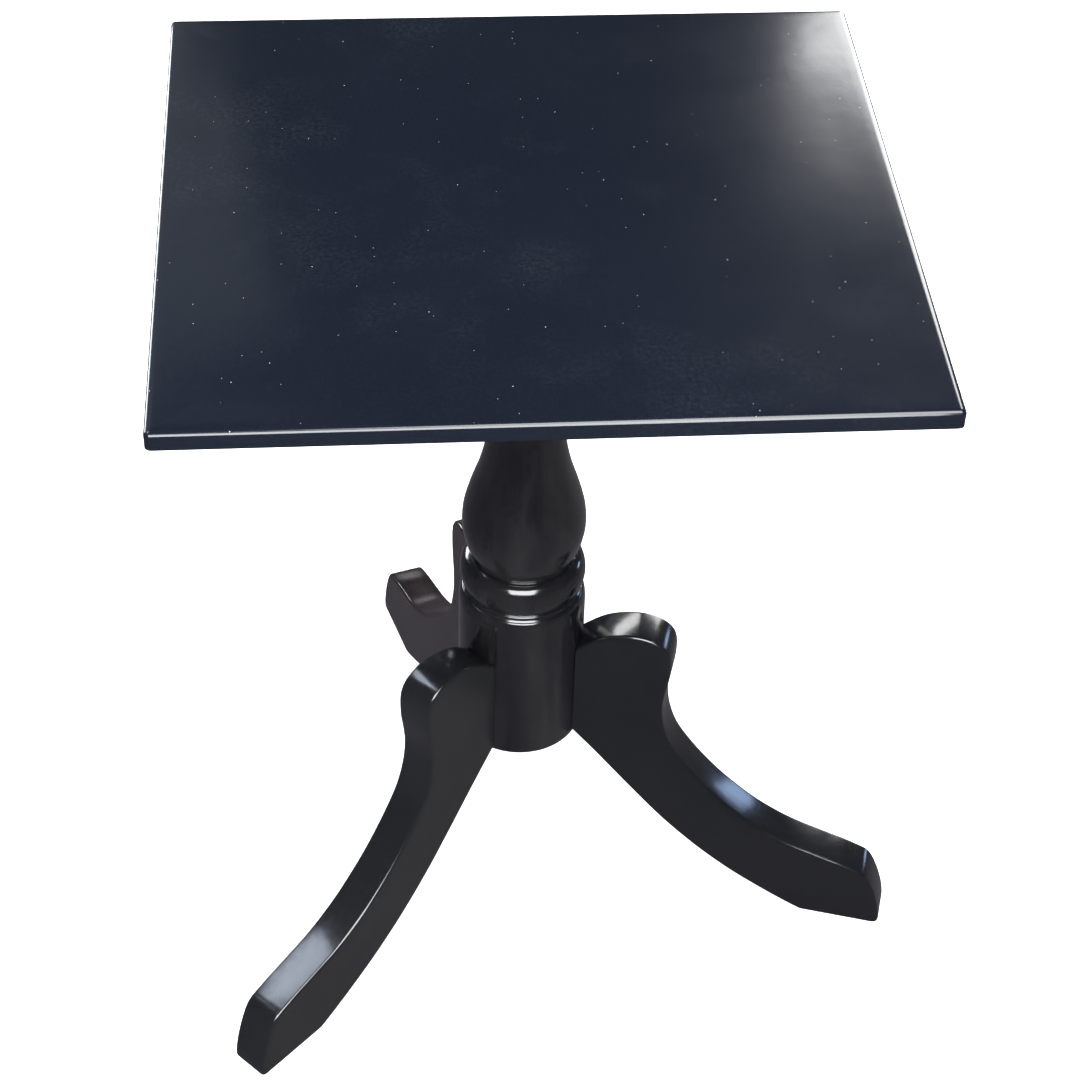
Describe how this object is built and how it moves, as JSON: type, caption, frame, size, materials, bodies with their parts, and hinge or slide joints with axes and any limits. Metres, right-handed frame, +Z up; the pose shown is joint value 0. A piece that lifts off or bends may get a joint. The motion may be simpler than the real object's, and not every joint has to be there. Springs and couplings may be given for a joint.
{
  "type": "tilt top table",
  "caption": "Black painted pedestal side table on three sawn legs; the top unlatches and tilts upright about the front of the pillar block.",
  "frame": {"origin": "on the floor under the pillar's axis", "axes": "+Z up, +X to the table's right, -Y towards its front, where the top's face turns when it is tilted up"},
  "size_m": [0.486, 0.4735, 0.584],
  "materials": {
    "black_paint_top": "satin black paint",
    "black_paint_pillar": "gloss black paint",
    "black_paint_leg_right": "satin black paint",
    "black_paint_leg_left": "satin black paint",
    "black_paint_leg_back": "satin black paint",
    "black_paint_block": "black paint",
    "black_paint_bearer": "black paint",
    "beech_wedge": "bare",
    "steel_pin": "bright",
    "steel_screw": "bright",
    "black_steel_brace": "black",
    "brass_catch": "worn",
    "brass_strike": "worn",
    "brass_bolt": "polished",
    "spring_wire": "bright"
  },
  "bodies": {
    "base": {"pillar": "black_paint_pillar", "tenon_wedge": "beech_wedge", "leg_right": "black_paint_leg_right", "leg_left": "black_paint_leg_left", "leg_back": "black_paint_leg_back", "leg_brace": "black_steel_brace", "brace_hub_screw_1": "steel_screw", "brace_hub_screw_2": "steel_screw", "brace_hub_screw_3": "steel_screw", "brace_leg_screw_right": "steel_screw", "brace_leg_screw_left": "steel_screw", "brace_leg_screw_back": "steel_screw", "pillar_block": "black_paint_block", "pivot_pin_left": "steel_pin", "pivot_pin_right": "steel_pin", "strike_plate": "brass_strike", "strike_screw_left": "steel_screw", "strike_screw_right": "steel_screw"},
    "top": {"top_board": "black_paint_top", "bearer_left": "black_paint_bearer", "bearer_right": "black_paint_bearer", "bearer_screw_left_1": "steel_screw", "bearer_screw_left_2": "steel_screw", "bearer_screw_left_3": "steel_screw", "bearer_screw_right_1": "steel_screw", "bearer_screw_right_2": "steel_screw", "bearer_screw_right_3": "steel_screw", "catch_case": "brass_catch", "catch_screw_1": "steel_screw", "catch_screw_2": "steel_screw", "catch_screw_3": "steel_screw", "catch_screw_4": "steel_screw", "catch_spring": "spring_wire"},
    "catch": {"catch_bolt": "brass_bolt", "catch_knob": "brass_bolt"}
  },
  "joints": [
    {"name": "top_tilt", "type": "hinge", "parent": "base", "child": "top", "pos_m": [0, -0.03, 0.5591], "axis": [1, 0, 0], "range_deg": [0, 88]},
    {"name": "catch_slide", "type": "slide", "parent": "top", "child": "catch", "axis": [0, 1, 0], "range_m": [0, 0.007], "stiffness_N_per_m": 350, "springref_m": -0.01, "deforming": ["catch_spring"]}
  ]
}
